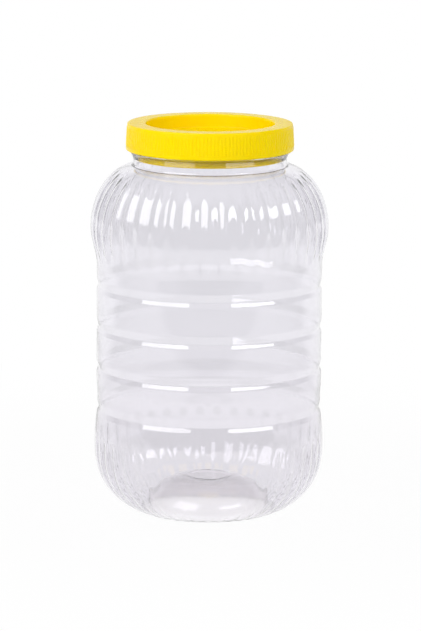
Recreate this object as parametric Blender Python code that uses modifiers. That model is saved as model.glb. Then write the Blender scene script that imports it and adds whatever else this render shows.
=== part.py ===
"""A five litre clear plastic pickle jar with a yellow screw lid.

Three pieces: the blow-moulded jar, the moulded screw lid, and the sealing ring
held under the lid's rim. The jar stands on the XY plane, on the Z axis.
"""
import math

import bmesh
import bpy

MM = 0.001

# Running clearance between neighbouring pieces
SEAT_GAP = 0.3 * MM

# Jar: heights above the table
HEEL_TOP = 51.0 * MM
WAIST_HEIGHT = 85.0 * MM
WALL_BOTTOM = 96.0 * MM
RIM_HEIGHT = 279.6 * MM

# Jar: how tall the neck, the shoulder's upper curve and its lower curve are
NECK_HEIGHT = 26.3 * MM
SHOULDER_CURVE_HEIGHT = 45.3 * MM
SHOULDER_SWELL_HEIGHT = 28.0 * MM

# Jar: outer radii
RING_INNER_RADIUS = 44.0 * MM
RING_OUTER_RADIUS = 47.0 * MM
HEEL_RADIUS = 83.1 * MM
WAIST_RADIUS = 80.8 * MM
WALL_RADIUS = 81.5 * MM
SHOULDER_RADIUS = 85.8 * MM
SHOULDER_TOP_RADIUS = 52.0 * MM
NECK_RADIUS = 55.4 * MM

# Jar: wall thickness, thin where the plastic is blown out
BODY_WALL = 0.8 * MM
SHOULDER_WALL = 1.3 * MM
NECK_WALL = 2.2 * MM
GATE_WALL = 2.4 * MM

# Jar: the bead round the neck, with its crest just below the lid
BEAD_DEPTH = 2.0 * MM
BEAD_DROP = 1.15 * MM
BEAD_UPPER_SLOPE = 1.3 * MM
BEAD_LOWER_SLOPE = 4.5 * MM

# Jar: domed push-up under the base, with the thick gate disc sunk in its crown
CROWN_HEIGHT = 24.0 * MM
GATE_RADIUS = 13.3 * MM
GATE_STEP = 3.4 * MM
GATE_SLOPE = 2.2 * MM

# Jar: grooves round the wall, seen from the side as a long upper slope and a
# shorter lower one
GROOVE_COUNT = 4
GROOVE_TOP_MARGIN = 13.9 * MM
GROOVE_BOTTOM_MARGIN = 24.8 * MM
GROOVE_UPPER_SLOPE = 6.0 * MM
GROOVE_LOWER_SLOPE = 4.6 * MM
GROOVE_DEPTH = 0.9 * MM

# Jar: upright flutes on the shoulder and round the base
FLUTE_COUNT = 40
SHOULDER_FLUTE_DEPTH = 1.5 * MM
SHOULDER_FLUTE_TOP_MARGIN = 4.3 * MM
SHOULDER_FLUTE_BOTTOM_MARGIN = 4.0 * MM
SHOULDER_FLUTE_FADE = 9.0 * MM
BASE_FLUTE_DEPTH = 1.2 * MM
BASE_FLUTE_TOP_MARGIN = 9.0 * MM
BASE_FLUTE_FADE = 9.0 * MM
BASE_FLUTE_RUN_OUT = 2.0 * MM

# Lid
LID_TOP_RADIUS = 59.5 * MM
LID_BOTTOM_RADIUS = 60.5 * MM
SKIRT_HEIGHT = 19.3 * MM
SKIRT_WALL = 1.7 * MM
LAND_THICKNESS = 2.0 * MM
LID_EDGE_ROUND = 1.0 * MM
WELL_RADIUS = 46.0 * MM
WELL_DRAFT = 0.4 * MM
WELL_DEPTH = 10.0 * MM
WELL_WALL = 1.8 * MM
WELL_ROUND = 1.2 * MM
RIB_COUNT = 144
RIB_DEPTH = 0.45 * MM
RIB_ROOT = 0.5 * MM
RIB_WIDTH_SHARE = 0.5
RIB_TOP_MARGIN = 2.0 * MM
RIB_BOTTOM_MARGIN = 2.8 * MM

# Sealing ring
SEAL_THICKNESS = 1.2 * MM
SEAL_INNER_RADIUS = 49.4 * MM

# Shapes of the heel's and the push-up's curves: all 2 would be plain ellipses
HEEL_RADIUS_POWER = 1.4
HEEL_HEIGHT_POWER = 2.6
PUSH_UP_POWER = 2.4

# Facets
JAR_STEPS = 2 * FLUTE_COUNT
LID_STEPS = 60
MERGE_DISTANCE = 0.01 * MM

# Heights that follow from the sizes above
NECK_BOTTOM = RIM_HEIGHT - NECK_HEIGHT
SHOULDER_HEIGHT = NECK_BOTTOM - SHOULDER_CURVE_HEIGHT
WALL_TOP = SHOULDER_HEIGHT - SHOULDER_SWELL_HEIGHT
GROOVE_TOP_HEIGHT = WALL_TOP - GROOVE_TOP_MARGIN
GROOVE_BOTTOM_HEIGHT = HEEL_TOP + GROOVE_BOTTOM_MARGIN
SHOULDER_FLUTE_TOP = NECK_BOTTOM - SHOULDER_FLUTE_TOP_MARGIN
SHOULDER_FLUTE_BOTTOM = WALL_TOP + SHOULDER_FLUTE_BOTTOM_MARGIN
BASE_FLUTE_TOP = HEEL_TOP + BASE_FLUTE_TOP_MARGIN
SEAL_BOTTOM = RIM_HEIGHT + SEAT_GAP
SEAL_TOP = SEAL_BOTTOM + SEAL_THICKNESS
LAND_UNDERSIDE = SEAL_TOP + SEAT_GAP
LID_TOP = LAND_UNDERSIDE + LAND_THICKNESS
LID_BOTTOM = LID_TOP - SKIRT_HEIGHT
WELL_FLOOR = LID_TOP - WELL_DEPTH
CHANNEL_OUTER_RADIUS = LID_TOP_RADIUS - SKIRT_WALL
SEAL_OUTER_RADIUS = CHANNEL_OUTER_RADIUS - SEAT_GAP


def clear_scene():
    for item in list(bpy.data.objects):
        bpy.data.objects.remove(item, do_unlink=True)


def new_collection(name):
    collection = bpy.data.collections.new(name)
    bpy.context.scene.collection.children.link(collection)
    return collection


def plastic(name, colour, roughness, transmission=0.0):
    material = bpy.data.materials.new(name)
    material.use_nodes = True
    shader = material.node_tree.nodes["Principled BSDF"]
    shader.inputs["Base Color"].default_value = (*colour, 1.0)
    shader.inputs["Roughness"].default_value = roughness
    shader.inputs["Metallic"].default_value = 0.0
    shader.inputs["Transmission Weight"].default_value = transmission
    return material


def jar_plastic():
    return plastic("clear_polyester", (0.88, 0.88, 0.91), 0.05, 1.0)


def lid_plastic():
    return plastic("yellow_polypropylene", (0.95, 0.68, 0.01), 0.3)


def seal_foam():
    return plastic("white_liner_foam", (0.9, 0.9, 0.88), 0.6)


def ease(share):
    """A smooth step from 0 to 1."""
    share = min(max(share, 0.0), 1.0)
    return 0.5 - 0.5 * math.cos(math.pi * share)


def blend(start, end, share):
    return start + (end - start) * share


def corner_arc(centre_radius, centre_height, radius, start, end, steps):
    """Points of an arc in the XZ plane, from one angle in degrees to another."""
    points = []
    for step in range(steps + 1):
        angle = math.radians(blend(start, end, step / steps))
        points.append((centre_radius + radius * math.cos(angle),
                       centre_height + radius * math.sin(angle)))
    return points


def groove_heights():
    """Heights of the grooves' deepest lines, evenly spaced from the lowest to the highest."""
    return [blend(GROOVE_BOTTOM_HEIGHT, GROOVE_TOP_HEIGHT, number / (GROOVE_COUNT - 1))
            for number in range(GROOVE_COUNT)]


def plain_radius(height):
    """The jar's outer radius from heel to shoulder, before grooves and flutes."""
    if height <= HEEL_TOP:
        drop = (HEEL_TOP - height) / HEEL_TOP
        reach = (1.0 - drop ** HEEL_HEIGHT_POWER) ** (1.0 / HEEL_RADIUS_POWER)
        return blend(RING_OUTER_RADIUS, HEEL_RADIUS, reach)
    if height <= WAIST_HEIGHT:
        return blend(HEEL_RADIUS, WAIST_RADIUS, ease((height - HEEL_TOP) / (WAIST_HEIGHT - HEEL_TOP)))
    if height <= WALL_BOTTOM:
        return blend(WAIST_RADIUS, WALL_RADIUS, ease((height - WAIST_HEIGHT) / (WALL_BOTTOM - WAIST_HEIGHT)))
    if height <= WALL_TOP:
        return WALL_RADIUS
    if height <= SHOULDER_HEIGHT:
        return blend(WALL_RADIUS, SHOULDER_RADIUS, ease((height - WALL_TOP) / (SHOULDER_HEIGHT - WALL_TOP)))
    rise = (height - SHOULDER_HEIGHT) / shoulder_rise()
    return blend(SHOULDER_TOP_RADIUS, SHOULDER_RADIUS, math.sqrt(max(1.0 - rise * rise, 0.0)))


def shoulder_rise():
    """Full height of the shoulder's ellipse, of which the neck cuts off the top."""
    cut_share = (NECK_RADIUS - SHOULDER_TOP_RADIUS) / (SHOULDER_RADIUS - SHOULDER_TOP_RADIUS)
    return (NECK_BOTTOM - SHOULDER_HEIGHT) / math.sqrt(1.0 - cut_share * cut_share)


def push_up_height(radius):
    """Height of the domed underside, from the standing ring inwards."""
    reach = min(radius / RING_INNER_RADIUS, 1.0)
    return CROWN_HEIGHT * (1.0 - reach ** PUSH_UP_POWER) ** (1.0 / PUSH_UP_POWER)


def base_points():
    """Under the jar: gate disc, domed push-up and flat standing ring, centre outwards."""
    gate_edge = GATE_RADIUS + GATE_SLOPE
    gate_height = push_up_height(gate_edge) - GATE_STEP
    dome_shares = [0.0, 0.3, 0.6, 0.84, 0.96, 1.0]
    dome_radii = [blend(gate_edge, RING_INNER_RADIUS, share) for share in dome_shares]
    return [
        (0.0, gate_height),
        (GATE_RADIUS, gate_height),
        *[(radius, push_up_height(radius)) for radius in dome_radii],
    ]


def side_heights():
    """Heights of the jar's rows of points between the standing ring and the neck."""
    heel_shares = [0.0, 0.06, 0.2, 0.45, 1.0]
    heights = [HEEL_TOP * share for share in heel_shares]
    for groove in groove_heights():
        heights += [groove - GROOVE_LOWER_SLOPE, groove, groove + GROOVE_UPPER_SLOPE]
    heights += [WAIST_HEIGHT, WALL_TOP]
    rise_shares = [0.5, 1.0]
    heights += [blend(WALL_TOP, SHOULDER_HEIGHT, share) for share in rise_shares]
    turn_degrees = [28, 50, 70]
    heights += [SHOULDER_HEIGHT + shoulder_rise() * math.sin(math.radians(turn)) for turn in turn_degrees]
    return sorted(heights)


def side_points():
    points = []
    for height in side_heights():
        radius = plain_radius(height)
        if height in groove_heights():
            radius -= GROOVE_DEPTH
        points.append((radius, height))
    return points


def neck_points():
    """Neck from the shoulder up to the rim, with the bead below the lid."""
    bead_crest = LID_BOTTOM - BEAD_DROP
    return [
        (NECK_RADIUS, NECK_BOTTOM),
        (NECK_RADIUS, bead_crest - BEAD_LOWER_SLOPE),
        (NECK_RADIUS + BEAD_DEPTH, bead_crest),
        (NECK_RADIUS, bead_crest + BEAD_UPPER_SLOPE),
        (NECK_RADIUS, RIM_HEIGHT),
    ]


def flute_strength(height):
    """Depth of the flutes' valleys at a height, fading out at the flutes' ends."""
    if height > SHOULDER_HEIGHT:
        return SHOULDER_FLUTE_DEPTH * ease((SHOULDER_FLUTE_TOP - height) / SHOULDER_FLUTE_FADE)
    if height > WALL_TOP:
        return SHOULDER_FLUTE_DEPTH * ease((height - SHOULDER_FLUTE_BOTTOM) / SHOULDER_FLUTE_FADE)
    run_out = ease(height / BASE_FLUTE_RUN_OUT)
    return BASE_FLUTE_DEPTH * run_out * ease((BASE_FLUTE_TOP - height) / BASE_FLUTE_FADE)


def press_flutes(mesh):
    """Draw the valleys of the flutes in towards the axis."""
    for vertex in mesh.vertices:
        x, y, height = vertex.co
        radius = math.hypot(x, y)
        if radius < RING_OUTER_RADIUS:
            continue
        angle = math.atan2(y, x)
        valley_share = 0.5 - 0.5 * math.cos(FLUTE_COUNT * angle)
        factor = 1.0 - flute_strength(height) * valley_share / radius
        vertex.co.x = x * factor
        vertex.co.y = y * factor


def wall_thickness(radius, height):
    """Thick at the gate and the neck, thinner on the shoulder, thin in the body."""
    if height > NECK_BOTTOM - SEAT_GAP:
        return NECK_WALL + max(radius - NECK_RADIUS, 0.0)
    if radius < RING_INNER_RADIUS:
        return blend(GATE_WALL, BODY_WALL, ease((radius - GATE_RADIUS) / (RING_INNER_RADIUS - GATE_RADIUS)))
    if height > SHOULDER_HEIGHT:
        return blend(BODY_WALL, SHOULDER_WALL, (height - SHOULDER_HEIGHT) / (NECK_BOTTOM - SHOULDER_HEIGHT))
    return BODY_WALL


def turned(name, outline, steps, collection):
    """A profile in the XZ plane, turned about Z by a Screw modifier."""
    mesh = bpy.data.meshes.new(name)
    vertices = [(radius, 0.0, height) for radius, height in outline]
    edges = [(number, number + 1) for number in range(len(outline) - 1)]
    mesh.from_pydata(vertices, edges, [])
    item = bpy.data.objects.new(name, mesh)
    collection.objects.link(item)
    screw = item.modifiers.new("turn", "SCREW")
    screw.axis = "Z"
    screw.angle = math.tau
    screw.steps = steps
    screw.render_steps = steps
    screw.use_merge_vertices = True
    screw.merge_threshold = MERGE_DISTANCE
    return item


def made_mesh(item):
    """Put an object's modifiers into its mesh."""
    evaluated = item.evaluated_get(bpy.context.evaluated_depsgraph_get())
    mesh = bpy.data.meshes.new_from_object(evaluated)
    old_mesh = item.data
    item.modifiers.clear()
    item.data = mesh
    bpy.data.meshes.remove(old_mesh)
    mesh.name = item.name


def smooth(item, sharp_angle):
    item.data.shade_smooth()
    item.data.set_sharp_from_angle(angle=math.radians(sharp_angle))


def move_origin(item, height):
    """Put the object's origin on the joint's axis at a height."""
    for vertex in item.data.vertices:
        vertex.co.z -= height
    item.location.z = height


def make_jar(collection):
    outline = list(reversed(base_points() + side_points() + neck_points()))
    jar = turned("jar", outline, JAR_STEPS, collection)
    made_mesh(jar)
    thickest = max(wall_thickness(radius, height) for radius, height in outline)
    walls = jar.vertex_groups.new(name="wall")
    for vertex in jar.data.vertices:
        radius = math.hypot(vertex.co.x, vertex.co.y)
        walls.add([vertex.index], wall_thickness(radius, vertex.co.z) / thickest, "REPLACE")
    press_flutes(jar.data)
    shell = jar.modifiers.new("wall", "SOLIDIFY")
    shell.thickness = thickest
    shell.offset = -1.0
    shell.vertex_group = walls.name
    shell.use_rim = True
    smooth(jar, 40)
    jar.data.materials.append(jar_plastic())
    return jar


def lid_outline():
    """Half section of the lid, from its axis over the top and back underneath."""
    well_top_radius = WELL_RADIUS + WELL_DRAFT
    floor_corner = corner_arc(WELL_RADIUS - WELL_ROUND, WELL_FLOOR + WELL_ROUND, WELL_ROUND, -90, 0, 2)
    rim_corner = corner_arc(well_top_radius + WELL_ROUND, LID_TOP - WELL_ROUND, WELL_ROUND, 180, 90, 2)
    outer_corner = corner_arc(LID_TOP_RADIUS - LID_EDGE_ROUND, LID_TOP - LID_EDGE_ROUND, LID_EDGE_ROUND, 90, 0, 2)
    well_outside = well_top_radius + WELL_WALL
    return [
        (0.0, WELL_FLOOR),
        *floor_corner,
        *rim_corner,
        *outer_corner,
        (LID_BOTTOM_RADIUS, LID_BOTTOM + LID_EDGE_ROUND),
        (LID_BOTTOM_RADIUS - LID_EDGE_ROUND, LID_BOTTOM),
        (LID_BOTTOM_RADIUS - SKIRT_WALL, LID_BOTTOM),
        (CHANNEL_OUTER_RADIUS, LAND_UNDERSIDE),
        (well_outside, LAND_UNDERSIDE),
        (WELL_RADIUS + WELL_WALL - WELL_ROUND, WELL_FLOOR - WELL_WALL),
        (0.0, WELL_FLOOR - WELL_WALL),
    ]


def skirt_radius(height):
    share = (height - LID_BOTTOM) / SKIRT_HEIGHT
    return blend(LID_BOTTOM_RADIUS, LID_TOP_RADIUS, share)


def make_ribs(collection):
    """The grip ribs as one ring of upright bars, leaning with the skirt."""
    bottom = LID_BOTTOM + RIB_BOTTOM_MARGIN
    top = LID_TOP - RIB_TOP_MARGIN
    width = math.tau * LID_TOP_RADIUS / RIB_COUNT * RIB_WIDTH_SHARE
    build = bmesh.new()
    for number in range(RIB_COUNT):
        turn = math.tau * (number + 0.5) / RIB_COUNT
        bar = bmesh.ops.create_cube(build, size=1.0)["verts"]
        for vertex in bar:
            height = top if vertex.co.z > 0 else bottom
            outwards = RIB_DEPTH if vertex.co.x > 0 else -RIB_ROOT
            along = skirt_radius(height) + outwards
            across = vertex.co.y * width
            vertex.co = (along * math.cos(turn) - across * math.sin(turn),
                         along * math.sin(turn) + across * math.cos(turn), height)
    mesh = bpy.data.meshes.new("grip_ribs")
    build.to_mesh(mesh)
    build.free()
    ribs = bpy.data.objects.new("grip_ribs", mesh)
    ribs.hide_render = True
    ribs.display_type = "WIRE"
    collection.objects.link(ribs)
    return ribs


def make_lid(collection, cutters):
    lid = turned("screw_lid", lid_outline(), LID_STEPS, collection)
    join = lid.modifiers.new("ribs", "BOOLEAN")
    join.operation = "UNION"
    join.solver = "EXACT"
    join.object = make_ribs(cutters)
    bpy.context.view_layer.update()
    made_mesh(lid)
    smooth(lid, 30)
    move_origin(lid, LID_BOTTOM)
    lid.data.materials.append(lid_plastic())
    return lid


def make_seal(collection):
    outline = [
        (SEAL_INNER_RADIUS, SEAL_TOP),
        (SEAL_OUTER_RADIUS, SEAL_TOP),
        (SEAL_OUTER_RADIUS, SEAL_BOTTOM),
        (SEAL_INNER_RADIUS, SEAL_BOTTOM),
        (SEAL_INNER_RADIUS, SEAL_TOP),
    ]
    seal = turned("sealing_ring", outline, LID_STEPS, collection)
    made_mesh(seal)
    build = bmesh.new()
    build.from_mesh(seal.data)
    bmesh.ops.remove_doubles(build, verts=build.verts, dist=MERGE_DISTANCE)
    build.to_mesh(seal.data)
    build.free()
    smooth(seal, 30)
    move_origin(seal, SEAL_BOTTOM)
    seal.data.materials.append(seal_foam())
    return seal


def main():
    clear_scene()
    parts = new_collection("pickle_jar")
    cutters = new_collection("cutters")
    make_jar(parts)
    make_seal(parts)
    make_lid(parts, cutters)


main()
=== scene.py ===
"""Finishes a clear plastic pickle jar with a yellow screw lid, and stages it.

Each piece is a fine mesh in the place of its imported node, with a moulded-plastic finish
made from shader nodes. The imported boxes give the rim, the lid and the liner their heights.
"""

import math

import bpy
import numpy as np
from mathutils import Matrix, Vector


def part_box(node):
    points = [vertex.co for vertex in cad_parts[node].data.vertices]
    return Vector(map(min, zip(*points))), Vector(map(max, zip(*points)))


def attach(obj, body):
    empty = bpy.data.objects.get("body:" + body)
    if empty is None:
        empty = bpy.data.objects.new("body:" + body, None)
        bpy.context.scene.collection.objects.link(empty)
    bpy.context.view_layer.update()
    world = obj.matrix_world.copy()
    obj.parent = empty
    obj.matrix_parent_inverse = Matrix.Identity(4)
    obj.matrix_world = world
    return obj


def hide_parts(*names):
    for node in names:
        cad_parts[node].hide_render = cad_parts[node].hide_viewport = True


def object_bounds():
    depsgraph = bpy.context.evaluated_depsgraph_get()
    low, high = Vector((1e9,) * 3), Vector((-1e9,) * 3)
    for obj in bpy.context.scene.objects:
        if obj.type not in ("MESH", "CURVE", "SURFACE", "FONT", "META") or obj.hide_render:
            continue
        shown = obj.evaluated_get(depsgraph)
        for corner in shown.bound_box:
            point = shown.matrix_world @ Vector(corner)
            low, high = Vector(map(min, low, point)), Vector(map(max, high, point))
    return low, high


bl_info = {
    "name": "Pickle Jar",
    "version": (1, 0, 0),
    "blender": (4, 5, 0),
    "location": "View3D > Sidebar > Jar",
    "description": "Makes a clear fluted jar, its liner and its screw lid, and a studio for them",
    "category": "Add Mesh",
}

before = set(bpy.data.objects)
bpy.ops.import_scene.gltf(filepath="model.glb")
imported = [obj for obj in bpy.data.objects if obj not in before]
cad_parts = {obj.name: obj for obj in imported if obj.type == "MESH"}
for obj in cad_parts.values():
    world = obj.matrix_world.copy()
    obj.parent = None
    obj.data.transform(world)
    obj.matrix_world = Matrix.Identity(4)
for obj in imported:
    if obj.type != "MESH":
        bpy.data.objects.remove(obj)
CAD_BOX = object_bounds()

MM = 0.001
JAR_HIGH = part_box("jar")[1]
LID_LOW, LID_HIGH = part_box("screw_lid")
SEAL_LOW, SEAL_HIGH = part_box("sealing_ring")

# Photograph's frame, and the jar's axis in it, in pixels
PHOTO_WIDTH = 421
PHOTO_HEIGHT = 631
AXIS_COLUMN = 209.1

# Camera sensor, in the millimetres that lenses are given in
SENSOR_WIDTH = 36.0

# Distance from row to row along a section
PLAIN_STEP = 2.0 * MM
GROOVE_STEP = 0.4 * MM
NECK_STEP = 0.35 * MM
LID_STEP = 0.6 * MM
LID_FLAT_STEP = 3.0 * MM
LINER_STEP = 0.5 * MM

# Rows in the curves, and the angle from row to row where the shoulder and the corners turn
HEEL_ROWS = 30
DOME_ROWS = 24
SHOULDER_TURN_STEP = 3.0
SHOULDER_TURN_END = 82.0
CORNER_TURN_STEP = math.radians(15)
SHARP_EDGE = math.radians(50)

# Points round the axis
COLUMNS_A_FLUTE = 8
COLUMNS_A_RIB = 8
LINER_COLUMNS = 240


# Properties

def length(label, text, millimetres):
    return bpy.props.FloatProperty(name=label, description=text, default=millimetres * MM, min=0.0,
                                   precision=4, unit="LENGTH", subtype="DISTANCE")


def count(label, text, number):
    return bpy.props.IntProperty(name=label, description=text, default=number, min=3)


def colour(label, text, rgb):
    return bpy.props.FloatVectorProperty(name=label, description=text, default=rgb, size=3,
                                         min=0.0, max=1.0, subtype="COLOR")


def share(label, text, value):
    return bpy.props.FloatProperty(name=label, description=text, default=value, min=0.0, max=1.0,
                                   subtype="FACTOR")


def number(label, text, value):
    return bpy.props.FloatProperty(name=label, description=text, default=value, min=0.0)


def angle(label, text, degrees):
    return bpy.props.FloatProperty(name=label, description=text, default=math.radians(degrees),
                                   unit="ROTATION", subtype="ANGLE")


class JarShape(bpy.types.PropertyGroup):
    """Sizes of the blown jar."""
    heel_top: length("Heel top", "Height where the base is widest", 51.0)
    waist_height: length("Waist height", "Height of the narrow waist above the base", 85.0)
    wall_bottom: length("Wall bottom", "Height where the straight wall starts", 96.0)
    wall_top: length("Wall top", "Height where the shoulder starts to swell", 180.0)
    shoulder_height: length("Shoulder height", "Height where the shoulder is widest", 208.0)
    neck_bottom: length("Neck bottom", "Height where the neck leaves the shoulder", 253.3)
    ring_inner: length("Standing ring inside", "Inner radius of the ring it stands on", 44.0)
    ring_outer: length("Standing ring outside", "Outer radius of the ring it stands on", 47.0)
    ring_round: length("Standing ring round", "Rounding inside the standing ring", 1.2)
    heel_radius: length("Heel radius", "Radius of the base at its widest", 83.1)
    waist_radius: length("Waist radius", "Radius of the waist", 80.8)
    wall_radius: length("Wall radius", "Radius of the straight wall", 81.5)
    shoulder_radius: length("Shoulder radius", "Radius of the shoulder at its widest", 85.8)
    shoulder_top_radius: length("Shoulder top radius", "Centre of the shoulder's curve", 52.0)
    neck_radius: length("Neck radius", "Outer radius of the neck", 55.4)
    neck_round: length("Neck round", "Rounding between the shoulder and the neck", 1.4)
    rim_round: length("Rim round", "Rounding of the neck's rim", 0.6)
    body_wall: length("Body wall", "Wall thickness in the body", 0.8)
    shoulder_wall: length("Shoulder wall", "Wall thickness at the top of the shoulder", 1.3)
    neck_wall: length("Neck wall", "Wall thickness in the neck", 2.2)
    gate_wall: length("Gate wall", "Thickness in the middle of the base", 1.8)
    bead_depth: length("Bead depth", "How far the bead stands out", 2.0)
    bead_drop: length("Bead drop", "Gap from the lid's edge down to the bead's crest", 1.15)
    bead_upper: length("Bead upper slope", "Height of the bead's upper slope", 1.3)
    bead_lower: length("Bead lower slope", "Height of the bead's lower slope", 4.5)
    bead_foot_round: length("Bead foot round", "Rounding below the bead", 0.8)
    bead_round: length("Bead round", "Rounding of the bead's crest and upper side", 0.4)
    crown_height: length("Crown height", "Height of the push-up's dome", 24.0)
    gate_radius: length("Gate radius", "Radius of the thick disc in the base", 13.3)
    gate_step: length("Gate step", "Step down to the thick disc", 0.35)
    gate_slope: length("Gate slope", "Width of the step round the disc", 2.6)
    gate_round: length("Gate round", "Rounding of the step round the disc", 6.0)
    gate_flat: share("Gate flat", "How much of the disc's radius is quite flat", 0.6)
    groove_top: length("Top groove", "Height of the highest groove", 166.1)
    groove_pitch: length("Groove pitch", "Height from groove to groove", 30.1)
    groove_count: count("Grooves", "How many grooves go round the wall", 4)
    groove_upper: length("Groove upper slope", "Height of a groove's upper slope", 5.6)
    groove_lower: length("Groove lower slope", "Height of a groove's lower slope", 3.3)
    groove_depth: length("Groove depth", "Depth of a groove", 1.35)
    groove_round: length("Groove rounding", "Height over which a groove's slopes turn", 0.9)
    flute_count: count("Flutes", "How many flutes go round", 40)
    shoulder_flute: length("Shoulder flute depth", "Depth of the shoulder's flutes", 2.0)
    shoulder_flute_top: length("Shoulder flute top", "Where the shoulder's flutes end above", 249.0)
    shoulder_flute_bottom: length("Shoulder flute bottom", "Where they end below", 184.0)
    base_flute: length("Base flute depth", "Depth of the base's flutes", 1.4)
    base_flute_top: length("Base flute top", "Where the base's flutes end above", 60.0)
    flute_fade: length("Flute fade", "Height over which a flute fades out", 9.0)
    shoulder_flute_fade: length("Lower flute fade", "The same at the shoulder flutes' lower ends", 16.2)
    flute_softness: share("Flute softness", "How round the valleys between the flutes are", 0.65)
    flute_run_out: length("Flute run-out", "Height over which the base's flutes end at the ring", 1.3)
    heel_radius_power: number("Heel radius power", "Roundness of the heel's curve, outwards", 1.4)
    heel_height_power: number("Heel height power", "Roundness of the heel's curve, upwards", 2.6)
    push_up_power: number("Push-up power", "Roundness of the push-up's dome", 2.4)
    seam_height: length("Seam", "How far the mould's parting line stands out", 0.06)
    seam_width: length("Seam width", "Half the width of the parting line", 0.35)
    wall_ripple: length("Wall ripple", "Unevenness of the blown inner wall", 0.06)


class LidShape(bpy.types.PropertyGroup):
    """Sizes of the screw lid."""
    top_radius: length("Top radius", "Outer radius at the lid's top", 59.5)
    bottom_radius: length("Bottom radius", "Outer radius at the skirt's edge", 60.5)
    skirt_wall: length("Skirt wall", "Thickness of the skirt", 1.7)
    land: length("Land thickness", "Thickness of the flat rim", 2.0)
    edge_round: length("Edge round", "Rounding of the outer edges", 1.0)
    inner_round: length("Inner round", "Rounding of the inner corners", 0.5)
    well_radius: length("Well radius", "Radius of the sunken top's floor", 46.0)
    well_draft: length("Well draft", "How much wider the sunken top is at its mouth", 0.4)
    well_depth: length("Well depth", "Depth of the sunken top", 10.0)
    well_wall: length("Well wall", "Thickness of the sunken top", 1.8)
    well_round: length("Well round", "Rounding of the sunken top's corners", 1.2)
    plug_radius: length("Plug radius", "Outer radius of the plug skirt inside the neck", 52.9)
    plug_wall: length("Plug wall", "Thickness of the plug skirt", 1.2)
    plug_reach: length("Plug reach", "How far the plug skirt hangs below the outer skirt", 6.4)
    plug_flare: length("Plug flare", "Height over which the plug skirt widens below the well", 3.0)
    gate_radius: length("Gate radius", "Radius of the moulding gate's dimple", 2.2)
    gate_depth: length("Gate depth", "Depth of the moulding gate's dimple", 0.4)
    rib_count: count("Ribs", "How many grip ribs go round the skirt", 144)
    rib_depth: length("Rib depth", "How far the ribs stand out", 0.22)
    rib_top: length("Rib top margin", "Plain skirt above the ribs", 2.0)
    rib_bottom: length("Rib bottom margin", "Plain skirt below the ribs", 2.8)
    rib_fade: length("Rib fade", "Height over which a rib's end rises", 0.7)


class ThreadShape(bpy.types.PropertyGroup):
    """Sizes of the screw thread that the neck and the lid share."""
    pitch: length("Pitch", "Rise of the thread in one turn", 6.0)
    depth: length("Depth", "How far a thread ridge stands out", 1.6)
    width: length("Width", "Height of a thread ridge at its foot", 2.6)
    turns: number("Turns", "How far round the thread goes", 1.3)
    neck_start: length("Neck start", "Depth below the rim where the neck's thread starts", 11.5)
    run_in: number("Run-in", "Turns over which the ends of the thread rise", 0.08)


class LinerShape(bpy.types.PropertyGroup):
    """Sizes of the foam sealing ring."""
    inner_radius: length("Inner radius", "Inner radius of the ring", 49.4)
    rounding: length("Rounding", "Rounding of the ring's edges", 0.3)
    press_radius: length("Press radius", "Radius where the neck's rim bears on the ring", 54.3)
    press_width: length("Press width", "Half the width of the groove that the rim presses in", 1.6)
    press_depth: length("Press depth", "Depth of the groove that the rim presses in", 0.15)


class Finishes(bpy.types.PropertyGroup):
    """Colours and gloss of the three materials."""
    clear: colour("Clear plastic", "Tint of the clear wall", (0.93, 0.922, 0.952))
    # Painted shade: the lower jar's tint is drawn darker than the wall's, fading out between the two
    # heights below.
    clear_base: colour("Clear base", "Tint of the clear base", (0.908, 0.895, 0.928))
    # Painted light: the dome is drawn brighter, lifting the shade of the layers of clear plastic seen
    # through it.
    clear_dome: colour("Clear dome", "Tint of the domed underside", (1.0, 0.985, 0.995))
    clear_index: number("Clear index", "Refractive index of the clear plastic", 1.57)
    dome_haze: share("Dome haze", "How much duller the domed underside is", 0.1)
    # Heights where the painted shade on the lower jar is full, and where it has faded out.
    base_tint_low: length("Base tint up to", "Height up to which the base has its own tint", 60.0)
    base_tint_high: length("Wall tint from", "Height from which the wall has its own tint", 150.0)
    # These sizes place the dome's painted light; the dome's real haze uses them too.
    dome_radius: length("Dome radius", "Radius inside which the dome has its own tint", 44.0)
    dome_blend: length("Dome blend", "Width over which the dome's tint fades out", 4.0)
    dome_top: length("Dome top", "Height up to which the dome has its own tint", 25.0)
    dome_clear: length("Above the dome", "Height where nothing of the dome's tint is left", 60.0)
    yellow: colour("Yellow plastic", "Colour of the lid", (1.0, 0.72, 0.0))
    yellow_deep: colour("Deep yellow", "Colour where the lid's plastic is denser", (1.0, 0.685, 0.0))
    foam: colour("Liner foam", "Colour of the sealing ring", (0.88, 0.88, 0.85))
    floor: colour("Floor", "Colour of the floor", (0.84, 0.84, 0.84))


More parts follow.
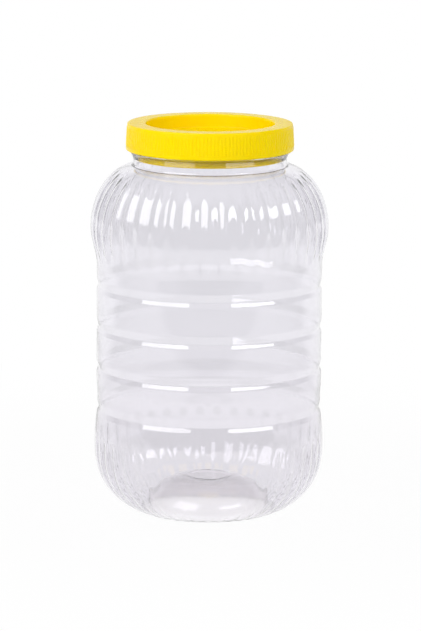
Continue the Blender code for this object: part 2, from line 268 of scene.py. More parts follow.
class Studio(bpy.types.PropertyGroup):
    """Camera and lights."""
    distance: length("Camera distance", "From the camera to the jar's middle", 2790.0)
    elevation: angle("Camera elevation", "How far the camera looks down", 10.5)
    roll: angle("Camera roll", "How far the camera leans", 0.3)
    aim_height: length("Aim height", "Height of the point in the middle of the picture", 142.6)
    focal_pixels: number("Focal length in pixels", "Distance from lens to picture, in pixels", 3851.0)
    key_azimuth: angle("Left light round", "How far round the left light stands", -49.0)
    key_elevation: angle("Left light up", "How high the left light stands", 33.0)
    key_distance: length("Left light distance", "From the jar's middle to the left light", 1400.0)
    key_width: length("Left light width", "Width of the left light", 1200.0)
    key_height: length("Left light height", "Height of the left light", 900.0)
    key_power: number("Left light", "Power of the large light on the left", 9.9)
    fill_azimuth: angle("Right light round", "How far round the right light stands", 49.0)
    fill_elevation: angle("Right light up", "How high the right light stands", 32.0)
    fill_distance: length("Right light distance", "From the jar's middle to the right light", 1600.0)
    fill_width: length("Right light width", "Width of the right light", 1250.0)
    fill_height: length("Right light height", "Height of the right light", 420.0)
    fill_power: number("Right light", "Power of the smaller light on the right", 6.2)
    sky: number("Sky", "Strength of the light from all round", 0.58)
    dark_room: number("Dark room", "Strength of what the front of the jar mirrors", 0.03)
    table_edge: length("Table edge", "From the jar's middle to the white table's front edge", 580.0)
    table_fade: length("Table fade", "Width over which the mirrored table's edge fades out", 120.0)
    table_near: length("Table near", "How far round the jar the mirrored table is white", 200.0)
    table_wide: length("Table wide", "Where the mirrored table has its strength far away", 900.0)
    table_far: share("Table far", "Strength of the mirrored table away from the jar", 0.5)
    table_behind: length("Table behind", "How far behind the jar the mirrored table is white", 400.0)
    glow_near: share("Floor glow near", "How white the floor is drawn beside the jar", 0.95)
    glow_start: length("Floor glow start", "Where the floor starts to be drawn whiter", 120.0)
    glow_end: length("Floor glow end", "Where the floor is drawn quite white", 550.0)
    behind_start: share("Backdrop start", "How far back the mirrored backdrop starts", 0.35)
    behind_full: share("Backdrop full", "How far back the mirrored backdrop is white", 0.8)
    low_full: share("Backdrop top", "How far up the mirrored backdrop is white", 0.35)
    low_end: share("Backdrop end", "How far up the mirrored backdrop's white ends", 0.6)
    above_low: share("Backdrop above", "Strength of the mirrored backdrop above its white part", 0.25)


# Shape helpers

def ease(value):
    """A smooth step from 0 to 1, for a number or an array."""
    return 0.5 - 0.5 * np.cos(np.pi * np.clip(value, 0.0, 1.0))


def blend(start, end, value):
    return start + (end - start) * value


def rounded(corners):
    """A path through (radius, height, rounding) corners, with an arc at each rounded one."""
    path = []
    for index, (radius, height, rounding) in enumerate(corners):
        corner = Vector((radius, height))
        if rounding == 0.0 or index in (0, len(corners) - 1):
            path.append(corner)
            continue
        back = (Vector(corners[index - 1][:2]) - corner).normalized()
        ahead = (Vector(corners[index + 1][:2]) - corner).normalized()
        half = back.angle(ahead) / 2.0
        reach = rounding / math.tan(half)
        centre = corner + (back + ahead).normalized() * (rounding / math.sin(half))
        start = corner + back * reach - centre
        turn = start.angle_signed(corner + ahead * reach - centre)
        steps = max(2, math.ceil(abs(turn) / CORNER_TURN_STEP))
        for step in range(steps + 1):
            part = -turn * step / steps
            path.append(centre + Vector((start.x * math.cos(part) - start.y * math.sin(part),
                                         start.x * math.sin(part) + start.y * math.cos(part))))
    return path


def subdivided(path, step_at):
    """The path with long stretches cut to at most the step wanted at their height."""
    points = [path[0]]
    for start, end in zip(path, path[1:]):
        pieces = max(1, math.ceil((end - start).length / step_at((start.y + end.y) / 2.0)))
        points += [start.lerp(end, piece / pieces) for piece in range(1, pieces + 1)]
    return np.array([(point.x, point.y) for point in points])


def path_normals(points):
    """Unit normals of a path, on its right-hand side."""
    along = np.gradient(points, axis=0)
    normals = np.column_stack((along[:, 1], -along[:, 0]))
    return normals / np.linalg.norm(normals, axis=1)[:, None]


def turned_mesh(name, radii, heights, closed):
    """A mesh from rows of points round the axis; rows that climb face outwards."""
    rows, columns = radii.shape
    turns = np.arange(columns) * (math.tau / columns)
    grid = np.stack((radii * np.cos(turns), radii * np.sin(turns), heights), axis=2).reshape(-1, 3)
    row_pairs = rows if closed else rows - 1
    row = np.arange(row_pairs)[:, None]
    column = np.arange(columns)[None, :]
    beside = (column + 1) % columns
    next_row = (row + 1) % rows
    quads = np.stack((row * columns + column, row * columns + beside,
                      next_row * columns + beside, next_row * columns + column), axis=2)
    faces = [tuple(quad) for quad in quads.reshape(-1, 4).tolist()]
    vertices = grid.tolist()
    if not closed:
        first, last = len(vertices), len(vertices) + 1
        vertices += [(0.0, 0.0, float(heights[0].mean())), (0.0, 0.0, float(heights[-1].mean()))]
        end = (rows - 1) * columns
        for spot in range(columns):
            beyond = (spot + 1) % columns
            faces.append((first, beyond, spot))
            faces.append((last, end + spot, end + beyond))
    mesh = bpy.data.meshes.new(name)
    mesh.from_pydata(vertices, [], faces)
    mesh.validate()
    return mesh


def finished_piece(name, mesh, material, node, body):
    """Put a mesh in the scene in a node's place, riding on the node's body."""
    mesh.materials.append(material)
    mesh.shade_smooth()
    mesh.set_sharp_from_angle(angle=SHARP_EDGE)
    piece = bpy.data.objects.new(name, mesh)
    bpy.context.scene.collection.objects.link(piece)
    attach(piece, body)
    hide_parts(node)
    return piece


# Jar

def plain_radius(jar, height):
    """The jar's outer radius at a height, before grooves and flutes."""
    if height <= jar.heel_top:
        drop = (jar.heel_top - height) / jar.heel_top
        reach = (1.0 - drop ** jar.heel_height_power) ** (1.0 / jar.heel_radius_power)
        return blend(jar.ring_outer, jar.heel_radius, reach)
    if height <= jar.waist_height:
        part = (height - jar.heel_top) / (jar.waist_height - jar.heel_top)
        return blend(jar.heel_radius, jar.waist_radius, ease(part))
    if height <= jar.wall_bottom:
        part = (height - jar.waist_height) / (jar.wall_bottom - jar.waist_height)
        return blend(jar.waist_radius, jar.wall_radius, ease(part))
    if height <= jar.shoulder_height:
        part = (height - jar.wall_top) / (jar.shoulder_height - jar.wall_top)
        return blend(jar.wall_radius, jar.shoulder_radius, ease(part))
    rise = (height - jar.shoulder_height) / shoulder_rise(jar)
    return blend(jar.shoulder_top_radius, jar.shoulder_radius, math.sqrt(max(1.0 - rise * rise, 0.0)))


def shoulder_rise(jar):
    """Full height of the shoulder's ellipse, of which the neck cuts off the top."""
    cut = (jar.neck_radius - jar.shoulder_top_radius) / (jar.shoulder_radius - jar.shoulder_top_radius)
    return (jar.neck_bottom - jar.shoulder_height) / math.sqrt(1.0 - cut * cut)


def straight_groove(jar, above):
    """Depth of a groove with straight slopes, at a height above its deepest line."""
    slope = jar.groove_upper if above > 0.0 else jar.groove_lower
    return jar.groove_depth * max(0.0, 1.0 - abs(above) / slope)


def groove_drop(jar, height):
    """How far the grooves draw the wall in at a height, with their corners rounded."""
    drop = 0.0
    for index in range(jar.groove_count):
        above = height - (jar.groove_top - jar.groove_pitch * index)
        nearby = np.linspace(-0.5, 0.5, 7) * jar.groove_round
        drop += float(np.mean([straight_groove(jar, above + shift) for shift in nearby]))
    return drop


def push_up_height(jar, radius):
    """Height of the domed underside at a radius."""
    reach = min(radius / jar.ring_inner, 1.0)
    return jar.crown_height * (1.0 - reach ** jar.push_up_power) ** (1.0 / jar.push_up_power)


def base_path(jar):
    """Under the jar: the gate disc, the dome round it and the standing ring."""
    gate_edge = jar.gate_radius + jar.gate_slope
    gate_height = push_up_height(jar, gate_edge) - jar.gate_step
    turns = np.linspace(math.asin(gate_edge / jar.ring_inner), math.pi / 2.0, DOME_ROWS)[1:-1]
    dome = [float(jar.ring_inner * math.sin(turn)) for turn in turns]
    return rounded([
        (jar.gate_flat * jar.gate_radius, gate_height, 0.0),
        (jar.gate_radius, gate_height, jar.gate_round),
        (gate_edge, push_up_height(jar, gate_edge), jar.gate_round),
        *[(radius, push_up_height(jar, radius), 0.0) for radius in dome],
        (jar.ring_inner, 0.0, jar.ring_round),
        (jar.ring_outer, 0.0, 0.0),
    ])


def wall_heights(jar):
    """Heights for the wall's rows: close together in the grooves and wider apart between them."""
    wall = np.arange(jar.heel_top, jar.shoulder_height, PLAIN_STEP)[1:]
    for index in range(jar.groove_count):
        centre = jar.groove_top - jar.groove_pitch * index
        bottom = centre - jar.groove_lower - jar.groove_round
        top = centre + jar.groove_upper + jar.groove_round
        wall = wall[(wall < bottom) | (wall > top)]
        wall = np.concatenate((wall, np.arange(bottom, top, GROOVE_STEP)))
    return np.sort(wall)


def side_path(jar):
    """The outer side from just above the standing ring to just below the neck."""
    heel = jar.heel_top * np.linspace(0.0, 1.0, HEEL_ROWS)[1:] ** 2
    turns = np.radians(np.arange(0.0, SHOULDER_TURN_END, SHOULDER_TURN_STEP))
    shoulder = jar.shoulder_height + shoulder_rise(jar) * np.sin(turns)
    heights = np.concatenate((heel, wall_heights(jar), shoulder))
    return [Vector((plain_radius(jar, height) - groove_drop(jar, height), height)) for height in heights]


def neck_path(jar, side_end, bead):
    """The neck from the shoulder to the middle of the rim, with the bead on its outer side."""
    crest = LID_LOW.z - jar.bead_drop
    bead_corners = [
        (jar.neck_radius, crest - jar.bead_lower, jar.bead_foot_round),
        (jar.neck_radius + jar.bead_depth, crest, jar.bead_round),
        (jar.neck_radius, crest + jar.bead_upper, jar.bead_round),
    ]
    return rounded([
        (side_end.x, side_end.y, 0.0),
        (jar.neck_radius, jar.neck_bottom, jar.neck_round),
        *(bead_corners if bead else []),
        (jar.neck_radius, JAR_HIGH.z, jar.rim_round),
        (jar.neck_radius - jar.neck_wall / 2.0, JAR_HIGH.z, 0.0),
    ])[1:]


def jar_outer(jar, neck_step, bead=True):
    """The outer wall from the middle of the base up to the rim."""
    side = side_path(jar)
    path = base_path(jar) + side + neck_path(jar, side[-1], bead)
    return subdivided(path, lambda height: neck_step if height > jar.neck_bottom else PLAIN_STEP)


def wall_thickness(jar, radius, height):
    """Thickness of the wall: thin in the body, thicker in the neck and the middle of the base."""
    if height > jar.neck_bottom:
        return jar.neck_wall
    if radius < jar.ring_inner:
        part = (radius - jar.gate_radius) / (jar.ring_inner - jar.gate_radius)
        return blend(jar.gate_wall, jar.body_wall, float(ease(part)))
    if height > jar.shoulder_height:
        part = (height - jar.shoulder_height) / (jar.neck_bottom - jar.shoulder_height)
        return blend(jar.body_wall, jar.shoulder_wall, part)
    return jar.body_wall


def jar_inner(jar):
    """The inner wall: the outer one moved in by the wall's thickness, from the rim down."""
    outer = jar_outer(jar, PLAIN_STEP, bead=False)
    normals = path_normals(outer)
    gate_edge = jar.gate_radius + jar.gate_slope
    near_gate = 1.0 - ease((outer[:, 0] - gate_edge) / (0.5 * gate_edge))
    straight_down = np.array([0.0, -1.0])
    normals = normals + (straight_down - normals) * near_gate[:, None]
    thickness = np.array([wall_thickness(jar, radius, height) for radius, height in outer])
    below_rim = outer[:, 1] < JAR_HIGH.z - jar.rim_round
    inner = (outer - normals * thickness[:, None])[below_rim][::-1]
    rim_inside = jar.neck_radius - jar.neck_wall
    rim = rounded([
        (jar.neck_radius - jar.neck_wall / 2.0, JAR_HIGH.z, 0.0),
        (rim_inside, JAR_HIGH.z, jar.rim_round),
        (rim_inside, inner[0][1], 0.0),
    ])[1:-1]
    return np.vstack(([(point.x, point.y) for point in rim], inner))


def flute_depth(jar, radii, heights):
    """Depth of the flutes' valleys in each row."""
    shoulder = np.where(
        heights > jar.shoulder_height,
        ease((jar.shoulder_flute_top - heights) / jar.flute_fade),
        ease((heights - jar.shoulder_flute_bottom) / jar.shoulder_flute_fade),
    ) * jar.shoulder_flute
    base = (ease(heights / jar.flute_run_out) * ease((jar.base_flute_top - heights) / jar.flute_fade)
            * jar.base_flute)
    depth = np.where(heights > jar.wall_top, shoulder, base)
    return np.where(radii < jar.ring_outer, 0.0, depth)


def flute_valley(jar, turns):
    """Round ribs with narrow valleys between them: 0 on a rib, 1 in a valley."""
    part = (jar.flute_count * turns / math.tau + 0.5) % 1.0 - 0.5
    arch = (2.0 * part) ** 2
    wave = 0.5 - 0.5 * np.cos(math.tau * part)
    return blend(arch, wave, jar.flute_softness)


def thread_ridge(thread, turns, heights, start_height):
    """Height of a thread's ridge over each point, for a right-hand thread of some turns."""
    ridge = np.zeros(np.broadcast_shapes(turns.shape, heights.shape))
    for lap in range(math.ceil(thread.turns)):
        gone = turns / math.tau + lap
        centre = start_height + thread.pitch * gone
        ends = ease(gone / thread.run_in) * ease((thread.turns - gone) / thread.run_in)
        flank = ease(1.0 - np.abs(heights - centre) / (thread.width / 2.0))
        ridge = ridge + thread.depth * ends * flank
    return ridge


def blown_ripple(turns, heights):
    """Three slow waves that never line up, like the inside of a blown wall."""
    rising_wave = np.sin(3.0 * turns + 31.0 * heights)
    falling_wave = np.sin(5.0 * turns - 47.0 * heights + 1.3)
    steep_wave = 0.6 * np.sin(2.0 * turns + 90.0 * heights + 0.4)
    return (rising_wave + falling_wave + steep_wave) / 2.0


def make_jar_mesh(jar, thread):
    """The jar: flutes in both walls, thread and parting line outside, ripples inside."""
    columns = jar.flute_count * COLUMNS_A_FLUTE
    outer = jar_outer(jar, NECK_STEP)
    rows = np.vstack((outer, jar_inner(jar)))
    section = rows[:, 0:1]
    turns = np.arange(columns)[None, :] * (math.tau / columns)
    radii = section - flute_depth(jar, rows[:, 0], rows[:, 1])[:, None] * flute_valley(jar, turns)
    heights = np.repeat(rows[:, 1:2], columns, axis=1)
    outside = np.arange(len(rows))[:, None] < len(outer)
    on_neck = (heights > jar.neck_bottom) & (section > jar.neck_radius - jar.rim_round / 2.0)
    ridge = thread_ridge(thread, turns, heights, JAR_HIGH.z - thread.neck_start)
    radii = radii + np.where(outside & on_neck, ridge, 0.0)
    on_side = (section > jar.ring_outer) & (heights > jar.flute_run_out)
    seam = jar.seam_height * np.exp(-((np.cos(turns) * section / jar.seam_width) ** 2))
    radii = radii + np.where(outside & on_side, seam, 0.0)
    inner_body = ~outside & on_side & (heights < jar.neck_bottom)
    radii = radii + np.where(inner_body, jar.wall_ripple * blown_ripple(turns, heights), 0.0)
    return turned_mesh("jar_shell", radii, heights, closed=False)


# Lid

def skirt_radius(lid, heights):
    """Outer radius of the tapered skirt, without its ribs."""
    return blend(lid.bottom_radius, lid.top_radius, (heights - LID_LOW.z) / (LID_HIGH.z - LID_LOW.z))


def lid_path(lid):
    """The lid's section from the middle of its sunken top, over the rim and back underneath."""
    floor = LID_HIGH.z - lid.well_depth
    underside = LID_HIGH.z - lid.land
    channel = lid.top_radius - lid.skirt_wall
    return rounded([
        (lid.gate_radius / 2.0, floor - lid.gate_depth, 0.0),
        (lid.gate_radius, floor - lid.gate_depth, lid.gate_depth / 2.0),
        (lid.gate_radius + lid.gate_depth, floor, lid.gate_depth / 2.0),
        (lid.well_radius, floor, lid.well_round),
        (lid.well_radius + lid.well_draft, LID_HIGH.z, lid.well_round),
        (lid.top_radius, LID_HIGH.z, lid.edge_round),
        (lid.bottom_radius, LID_LOW.z, lid.edge_round),
        (lid.bottom_radius - lid.skirt_wall, LID_LOW.z, lid.inner_round),
        (channel, underside, lid.inner_round),
        (lid.well_radius + lid.well_draft + lid.well_wall, underside, lid.inner_round),
        (lid.well_radius + lid.well_wall, floor, lid.inner_round),
        (lid.plug_radius, floor - lid.plug_flare, lid.inner_round),
        (lid.plug_radius, LID_LOW.z - lid.plug_reach, lid.plug_wall / 3.0),
        (lid.plug_radius - lid.plug_wall, LID_LOW.z - lid.plug_reach, lid.plug_wall / 3.0),
        (lid.plug_radius - lid.plug_wall, floor - lid.well_wall - lid.plug_flare, lid.inner_round),
        (lid.well_radius, floor - lid.well_wall, lid.inner_round),
        (lid.gate_radius, floor - lid.well_wall, 0.0),
    ])


def lid_step(lid, height):
    """Wide steps on the lid's three large flats and fine ones everywhere else."""
    floor = LID_HIGH.z - lid.well_depth
    flats = (LID_HIGH.z, floor, floor - lid.well_wall)
    on_flat = min(abs(height - flat) for flat in flats) < 0.1 * MM
    return LID_FLAT_STEP if on_flat else LID_STEP


def make_lid_mesh(lid, thread):
    """The lid: ribs outside the skirt and the thread inside it."""
    columns = lid.rib_count * COLUMNS_A_RIB
    rows = subdivided(lid_path(lid), lambda height: lid_step(lid, height))
    radius = rows[:, 0:1]
    turns = np.arange(columns)[None, :] * (math.tau / columns)
    heights = np.repeat(rows[:, 1:2], columns, axis=1)
    mid_wall = skirt_radius(lid, rows[:, 1:2]) - lid.skirt_wall / 2.0
    outside = radius > mid_wall
    inside = ~outside & (radius > mid_wall - lid.skirt_wall)
    rib_ends = ease((heights - LID_LOW.z - lid.rib_bottom) / lid.rib_fade)
    rib_ends = rib_ends * ease((LID_HIGH.z - lid.rib_top - heights) / lid.rib_fade)
    rib = ease(1.4 * (0.5 + 0.5 * np.cos(lid.rib_count * turns)) - 0.2)
    thread_start = JAR_HIGH.z - thread.neck_start - thread.pitch / 2.0
    ridge = thread_ridge(thread, turns, heights, thread_start)
    radii = radius + np.where(outside, lid.rib_depth * rib * rib_ends, 0.0)
    radii = radii - np.where(inside, ridge, 0.0)
    return turned_mesh("lid_shell", radii[::-1], heights[::-1], closed=False)


def make_liner_mesh(liner):
    """The liner: a flat foam ring, pressed in where the neck's rim bears on it."""
    outer_radius = SEAL_HIGH.x
    middle = (liner.inner_radius + outer_radius) / 2.0
    loop = rounded([
        (middle, SEAL_HIGH.z, 0.0),
        (outer_radius, SEAL_HIGH.z, liner.rounding),
        (outer_radius, SEAL_LOW.z, liner.rounding),
        (liner.inner_radius, SEAL_LOW.z, liner.rounding),
        (liner.inner_radius, SEAL_HIGH.z, liner.rounding),
        (middle, SEAL_HIGH.z, 0.0),
    ])
    rows = subdivided(loop, lambda height: LINER_STEP)[:-1]
    radii = np.repeat(rows[:, 0:1], LINER_COLUMNS, axis=1)
    heights = np.repeat(rows[:, 1:2], LINER_COLUMNS, axis=1)
    pressed = liner.press_depth * ease(1.0 - np.abs(radii - liner.press_radius) / liner.press_width)
    heights = heights + np.where(heights < SEAL_LOW.z + 0.1 * MM, pressed, 0.0)
    return turned_mesh("seal_ring", radii[::-1], heights[::-1], closed=True)


# Materials

def new_material(name):
    material = bpy.data.materials.new(name)
    material.use_nodes = True
    return material, material.node_tree, material.node_tree.nodes["Principled BSDF"]


def add_node(tree, kind, **settings):
    node = tree.nodes.new(kind)
    for key, value in settings.items():
        setattr(node, key, value)
    return node


def noise(tree, scale, detail=2.0, roughness=0.5, stretch=(1.0, 1.0, 1.0)):
    """Solid noise that stays with the piece; the scale counts features in a metre."""
    place = add_node(tree, "ShaderNodeTexCoord")
    mapping = add_node(tree, "ShaderNodeMapping")
    mapping.inputs["Scale"].default_value = stretch
    texture = add_node(tree, "ShaderNodeTexNoise")
    texture.inputs["Scale"].default_value = scale
    texture.inputs["Detail"].default_value = detail
    texture.inputs["Roughness"].default_value = roughness
    tree.links.new(place.outputs["Object"], mapping.inputs["Vector"])
    tree.links.new(mapping.outputs["Vector"], texture.inputs["Vector"])
    return texture.outputs["Fac"]


def spread(tree, source, low, high):
    """Map a noise onto a range."""
    node = add_node(tree, "ShaderNodeMapRange")
    node.inputs["From Min"].default_value = 0.3
    node.inputs["From Max"].default_value = 0.7
    node.inputs["To Min"].default_value = low
    node.inputs["To Max"].default_value = high
    tree.links.new(source, node.inputs["Value"])
    return node.outputs["Result"]


def bump(tree, source, distance, strength, under=None):
    node = add_node(tree, "ShaderNodeBump")
    node.inputs["Distance"].default_value = distance
    node.inputs["Strength"].default_value = strength
    tree.links.new(source, node.inputs["Height"])
    if under is not None:
        tree.links.new(under, node.inputs["Normal"])
    return node.outputs["Normal"]


def math_node(tree, operation, first, second):
    """Work out one step on two values, each a socket or a number."""
    node = add_node(tree, "ShaderNodeMath", operation=operation)
    for socket, value in zip(node.inputs, (first, second)):
        if isinstance(value, float):
            socket.default_value = value
        else:
            tree.links.new(value, socket)
    return node.outputs["Value"]


def rising(tree, value, start, end, low, high):
    """A smooth rise from low to high as a value goes from start to end."""
    node = add_node(tree, "ShaderNodeMapRange", interpolation_type="SMOOTHSTEP")
    settings = {"From Min": start, "From Max": end, "To Min": low, "To Max": high}
    for name, setting in settings.items():
        node.inputs[name].default_value = setting
    tree.links.new(value, node.inputs["Value"])
    return node.outputs["Result"]


def position(tree, kind="Object"):
    """A point on the piece, and its three coordinates by name."""
    place = add_node(tree, "ShaderNodeTexCoord").outputs[kind]
    apart = add_node(tree, "ShaderNodeSeparateXYZ")
    tree.links.new(place, apart.inputs["Vector"])
    return place, apart.outputs


def vector_length(tree, vector):
    node = add_node(tree, "ShaderNodeVectorMath", operation="LENGTH")
    tree.links.new(vector, node.inputs[0])
    return node.outputs["Value"]


def chosen_shader(tree, factor, first, second):
    """Send a mix of two shaders to the material's surface."""
    mix = add_node(tree, "ShaderNodeMixShader")
    tree.links.new(factor, mix.inputs["Fac"])
    tree.links.new(first, mix.inputs[1])
    tree.links.new(second, mix.inputs[2])
    tree.links.new(mix.outputs["Shader"], tree.nodes["Material Output"].inputs["Surface"])


def colour_sockets(sockets):
    return [socket for socket in sockets if socket.type == "RGBA"]


def mixed_colour(tree, factor, first, second):
    """Mix two colours, each a socket or three numbers."""
    node = add_node(tree, "ShaderNodeMix", data_type="RGBA")
    tree.links.new(factor, node.inputs["Factor"])
    for socket, value in zip(colour_sockets(node.inputs), (first, second)):
        if isinstance(value, bpy.types.NodeSocket):
            tree.links.new(value, socket)
        else:
            socket.default_value = (*value, 1.0)
    return colour_sockets(node.outputs)[0]


def dome_part(tree, finish, point, height):
    """How much of the domed underside a point has: 1 on the dome and 0 on the walls."""
    across = add_node(tree, "ShaderNodeVectorMath", operation="MULTIPLY")
    across.inputs[1].default_value = (1.0, 1.0, 0.0)
    tree.links.new(point, across.inputs[0])
    radius = vector_length(tree, across.outputs["Vector"])
    dome_end = finish.dome_radius + finish.dome_blend
    under = rising(tree, radius, finish.dome_radius, dome_end, 1.0, 0.0)
    low_down = rising(tree, height, finish.dome_top, finish.dome_clear, 1.0, 0.0)
    return math_node(tree, "MULTIPLY", under, low_down)


def clear_plastic(finish):
    """Blown clear polyester: glossy, with faint ripples, and letting lamp light through; its lower part
    gets painted shade and its dome painted light.
    """
    material, tree, shader = new_material("clear_polyester")
    point, along = position(tree)
    # Painted shade: the tint is drawn darker low on the jar and fades to the wall's own tint higher up.
    height = rising(tree, along["Z"], finish.base_tint_low, finish.base_tint_high, 0.0, 1.0)
    wall_tint = mixed_colour(tree, height, finish.clear_base, finish.clear)
    # Painted light: the domed underside is drawn brighter; the same share also adds the dome's haze.
    dome = dome_part(tree, finish, point, along["Z"])
    tree.links.new(mixed_colour(tree, dome, wall_tint, finish.clear_dome), shader.inputs["Base Color"])
    shader.inputs["IOR"].default_value = finish.clear_index
    shader.inputs["Transmission Weight"].default_value = 1.0
    gloss = spread(tree, noise(tree, 60.0, 3.0), 0.01, 0.045)
    haze = math_node(tree, "MULTIPLY", dome, finish.dome_haze)
    tree.links.new(math_node(tree, "ADD", gloss, haze), shader.inputs["Roughness"])
    ripples = bump(tree, noise(tree, 45.0, 1.0, stretch=(1.0, 1.0, 0.5)), 0.4 * MM, 0.25)
    skin = bump(tree, noise(tree, 900.0, 2.0), 0.02 * MM, 0.2, ripples)
    tree.links.new(skin, shader.inputs["Normal"])
    see_through = add_node(tree, "ShaderNodeBsdfTransparent")
    see_through.inputs["Color"].default_value = (*finish.clear, 1.0)
    shadow = add_node(tree, "ShaderNodeLightPath").outputs["Is Shadow Ray"]
    chosen_shader(tree, shadow, shader.outputs["BSDF"], see_through.outputs["BSDF"])
    return material


def yellow_plastic(finish):
    """Moulded polypropylene: satin gloss, a faint flow pattern and a fine skin."""
    material, tree, shader = new_material("yellow_polypropylene")
    flow = spread(tree, noise(tree, 14.0, 3.0, 0.6, stretch=(1.0, 1.0, 0.4)), 0.0, 1.0)
    yellow = mixed_colour(tree, flow, finish.yellow, finish.yellow_deep)
    tree.links.new(yellow, shader.inputs["Base Color"])
    tree.links.new(spread(tree, noise(tree, 60.0, 3.0, 0.6), 0.22, 0.32), shader.inputs["Roughness"])
    shader.inputs["IOR"].default_value = 1.49
    shader.inputs["Specular IOR Level"].default_value = 0.12
    shader.inputs["Subsurface Weight"].default_value = 0.35
    shader.inputs["Subsurface Radius"].default_value = (1.0, 0.8, 0.4)
    shader.inputs["Subsurface Scale"].default_value = 3.0 * MM
    skin = bump(tree, noise(tree, 350.0, 2.0, 0.5), 0.01 * MM, 0.1)
    scuffs = bump(tree, noise(tree, 1500.0, 1.0, stretch=(1.0, 0.06, 1.0)), 0.004 * MM, 0.1, skin)
    tree.links.new(scuffs, shader.inputs["Normal"])
    return material


def liner_foam(finish):
    """Closed-cell liner foam: matt, with fine cells."""
    material, tree, shader = new_material("liner_foam")
    cells = spread(tree, noise(tree, 300.0, 2.0), 0.0, 1.0)
    darker = [0.9 * part for part in finish.foam]
    tree.links.new(mixed_colour(tree, cells, finish.foam, darker), shader.inputs["Base Color"])
    tree.links.new(spread(tree, noise(tree, 500.0, 2.0), 0.65, 0.85), shader.inputs["Roughness"])
    tree.links.new(bump(tree, noise(tree, 1800.0, 2.0), 0.08 * MM, 0.6), shader.inputs["Normal"])
    return material


def ray_shares(tree):
    """Which rays show the studio straight or through something clear, and which mirror it."""
    path = add_node(tree, "ShaderNodeLightPath")
    shown = math_node(tree, "MAXIMUM", path.outputs["Is Glossy Ray"], path.outputs["Is Transmission Ray"])
    bounced = math_node(tree, "MINIMUM", path.outputs["Glossy Depth"], 1.0)
    mirrored = math_node(tree, "MULTIPLY", shown, bounced)
    straight = math_node(tree, "SUBTRACT", shown, mirrored)
    return math_node(tree, "MAXIMUM", path.outputs["Is Camera Ray"], straight), mirrored


# Studio

def floor_paint(finish, studio):
    """Pale matt table, drawn white away from the jar so that it meets the backdrop unseen.

    Mirrored rays find the table's front edge, with a dark room beyond it.
    """
    material, tree, shader = new_material("studio_floor")
    shader.inputs["Base Color"].default_value = (*finish.floor, 1.0)
    shader.inputs["Roughness"].default_value = 0.8
    shader.inputs["Specular IOR Level"].default_value = 0.1
    point, along = position(tree)
    away = vector_length(tree, point)
    glow = rising(tree, away, studio.glow_start, studio.glow_end, studio.glow_near, 1.0)
    edge = -studio.table_edge
    on_table = rising(tree, along["Y"], edge - studio.table_fade, edge, 0.0, 1.0)
    beside = rising(tree, away, studio.table_near, studio.table_wide, 1.0, studio.table_far)
    behind = rising(tree, along["Y"], 0.0, studio.table_behind, 0.0, 1.0)
    bright = math_node(tree, "MAXIMUM", beside, behind)
    table = math_node(tree, "MULTIPLY", on_table, bright)
    table = math_node(tree, "MAXIMUM", table, studio.dark_room)
    straight, mirrored = ray_shares(tree)
    white = add_node(tree, "ShaderNodeEmission")
    plain = math_node(tree, "SUBTRACT", 1.0, mirrored)
    strength = math_node(tree, "ADD", math_node(tree, "MULTIPLY", mirrored, table), plain)
    tree.links.new(strength, white.inputs["Strength"])
    drawn = math_node(tree, "MAXIMUM", mirrored, math_node(tree, "MULTIPLY", glow, straight))
    chosen_shader(tree, drawn, shader.outputs["BSDF"], white.outputs["Emission"])
    return material


def make_floor(finish, studio):
    bpy.ops.mesh.primitive_plane_add(size=60.0)
    floor = bpy.context.object
    floor.name = "studio_floor"
    floor.data.materials.append(floor_paint(finish, studio))


def make_world(studio):
    """White to the eye and soft light from all round, but mirrored white only behind and low."""
    world = bpy.data.worlds.new("studio_air")
    world.use_nodes = True
    bpy.context.scene.world = world
    tree = world.node_tree
    backdrop = tree.nodes["Background"]
    backdrop.inputs["Color"].default_value = (1.0, 1.0, 1.0, 1.0)
    straight, mirrored = ray_shares(tree)
    along = position(tree, "Generated")[1]
    behind = rising(tree, along["Y"], studio.behind_start, studio.behind_full, 0.0, 1.0)
    low = rising(tree, along["Z"], studio.low_full, studio.low_end, 1.0, studio.above_low)
    wall = math_node(tree, "MULTIPLY", behind, low)
    wall = math_node(tree, "MAXIMUM", wall, studio.dark_room)
    soft = math_node(tree, "SUBTRACT", 1.0, math_node(tree, "ADD", straight, mirrored))
    total = math_node(tree, "ADD", straight, math_node(tree, "MULTIPLY", mirrored, wall))
    total = math_node(tree, "ADD", total, math_node(tree, "MULTIPLY", soft, studio.sky))
    tree.links.new(total, backdrop.inputs["Strength"])


def make_light(name, azimuth, elevation, distance, width, height, power):
    """A soft box aimed at the jar; azimuth 0 is the camera's side and positive is to the right."""
    aim = Vector((0.0, 0.0, (CAD_BOX[0].z + CAD_BOX[1].z) / 2.0))
    level = math.cos(elevation)
    towards = Vector((math.sin(azimuth) * level, -math.cos(azimuth) * level, math.sin(elevation)))
    lamp = bpy.data.lights.new(name, "AREA")
    lamp.shape = "RECTANGLE"
    lamp.size = width
    lamp.size_y = height
    lamp.energy = power
    item = bpy.data.objects.new(name, lamp)
    item.location = aim + towards * distance
    item.rotation_euler = towards.to_track_quat("Z", "Y").to_euler()
    bpy.context.scene.collection.objects.link(item)


def make_camera(studio):
    """The photograph's camera, with the jar's axis where the photograph has it."""
    scene = bpy.context.scene
    lens = bpy.data.cameras.new("photo_camera")
    lens.sensor_width = SENSOR_WIDTH
    lens.lens = lens.sensor_width * studio.focal_pixels / PHOTO_HEIGHT
    lens.clip_end = 100.0
    camera = bpy.data.objects.new("photo_camera", lens)
    metres_a_pixel = studio.distance / studio.focal_pixels
    across = (PHOTO_WIDTH / 2.0 - AXIS_COLUMN) * metres_a_pixel
    towards = Vector((0.0, -math.cos(studio.elevation), math.sin(studio.elevation)))
    camera.location = Vector((across, 0.0, studio.aim_height)) + towards * studio.distance
    turn = towards.to_track_quat("Z", "Y").to_matrix().to_euler()
    turn.rotate_axis("Z", studio.roll)
    camera.rotation_euler = turn
    scene.collection.objects.link(camera)
    scene.camera = camera


# Operators

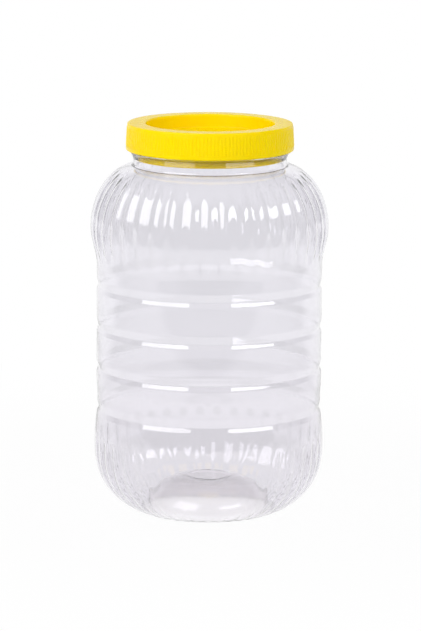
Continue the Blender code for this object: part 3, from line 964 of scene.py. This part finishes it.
class JAR_OT_shell(bpy.types.Operator):
    """Make the clear blown jar"""
    bl_idname = "pickle_jar.shell"
    bl_label = "Jar"

    def execute(self, context):
        settings = context.scene.pickle_jar
        mesh = make_jar_mesh(settings.jar, settings.thread)
        material = clear_plastic(settings.finishes)
        finished_piece("jar_shell", mesh, material, "jar", "jar")
        return {"FINISHED"}


class JAR_OT_lid(bpy.types.Operator):
    """Make the ribbed screw lid"""
    bl_idname = "pickle_jar.lid"
    bl_label = "Screw lid"

    def execute(self, context):
        settings = context.scene.pickle_jar
        mesh = make_lid_mesh(settings.lid, settings.thread)
        material = yellow_plastic(settings.finishes)
        finished_piece("lid_shell", mesh, material, "screw_lid", "lid")
        return {"FINISHED"}


class JAR_OT_liner(bpy.types.Operator):
    """Make the foam sealing ring"""
    bl_idname = "pickle_jar.liner"
    bl_label = "Sealing ring"

    def execute(self, context):
        settings = context.scene.pickle_jar
        mesh = make_liner_mesh(settings.liner)
        material = liner_foam(settings.finishes)
        finished_piece("liner_ring", mesh, material, "sealing_ring", "seal")
        return {"FINISHED"}


class JAR_OT_studio(bpy.types.Operator):
    """Make the floor, the lights and the camera"""
    bl_idname = "pickle_jar.studio"
    bl_label = "Studio"

    def execute(self, context):
        settings = context.scene.pickle_jar
        studio = settings.studio
        make_floor(settings.finishes, studio)
        make_world(studio)
        make_light("left_soft_box", studio.key_azimuth, studio.key_elevation,
                   studio.key_distance, studio.key_width, studio.key_height, studio.key_power)
        make_light("right_soft_box", studio.fill_azimuth, studio.fill_elevation,
                   studio.fill_distance, studio.fill_width, studio.fill_height, studio.fill_power)
        make_camera(studio)
        context.scene.view_settings.view_transform = "Standard"
        return {"FINISHED"}


class PickleJar(bpy.types.PropertyGroup):
    """All the settings of the jar and its studio."""
    jar: bpy.props.PointerProperty(type=JarShape, name="Jar", description="Sizes of the jar")
    liner: bpy.props.PointerProperty(type=LinerShape, name="Liner", description="Sizes of the liner")
    lid: bpy.props.PointerProperty(type=LidShape, name="Lid", description="Sizes of the lid")
    thread: bpy.props.PointerProperty(type=ThreadShape, name="Thread", description="Sizes of the thread")
    finishes: bpy.props.PointerProperty(type=Finishes, name="Finishes", description="Colours")
    studio: bpy.props.PointerProperty(type=Studio, name="Studio", description="Camera and lights")


class JAR_PT_panel(bpy.types.Panel):
    """The jar's pieces and settings"""
    bl_idname = "JAR_PT_panel"
    bl_label = "Pickle jar"
    bl_space_type = "VIEW_3D"
    bl_region_type = "UI"
    bl_category = "Jar"

    def draw(self, context):
        settings = context.scene.pickle_jar
        for operator in OPERATORS:
            self.layout.operator(operator.bl_idname)
        shapes = (settings.jar, settings.liner, settings.lid, settings.thread)
        for group in (*shapes, settings.finishes, settings.studio):
            box = self.layout.box()
            for name in group.bl_rna.properties.keys():
                if name not in ("rna_type", "name"):
                    box.prop(group, name)


OPERATORS = (JAR_OT_shell, JAR_OT_lid, JAR_OT_liner, JAR_OT_studio)
GROUPS = (JarShape, LidShape, ThreadShape, LinerShape, Finishes, Studio, PickleJar)
CLASSES = (*GROUPS, *OPERATORS, JAR_PT_panel)


def register():
    for item in CLASSES:
        bpy.utils.register_class(item)
    bpy.types.Scene.pickle_jar = bpy.props.PointerProperty(type=PickleJar)


def unregister():
    del bpy.types.Scene.pickle_jar
    for item in reversed(CLASSES):
        bpy.utils.unregister_class(item)


def main():
    register()
    bpy.ops.pickle_jar.shell()
    bpy.ops.pickle_jar.liner()
    bpy.ops.pickle_jar.lid()
    bpy.ops.pickle_jar.studio()


if __name__ == "__main__":
    main()
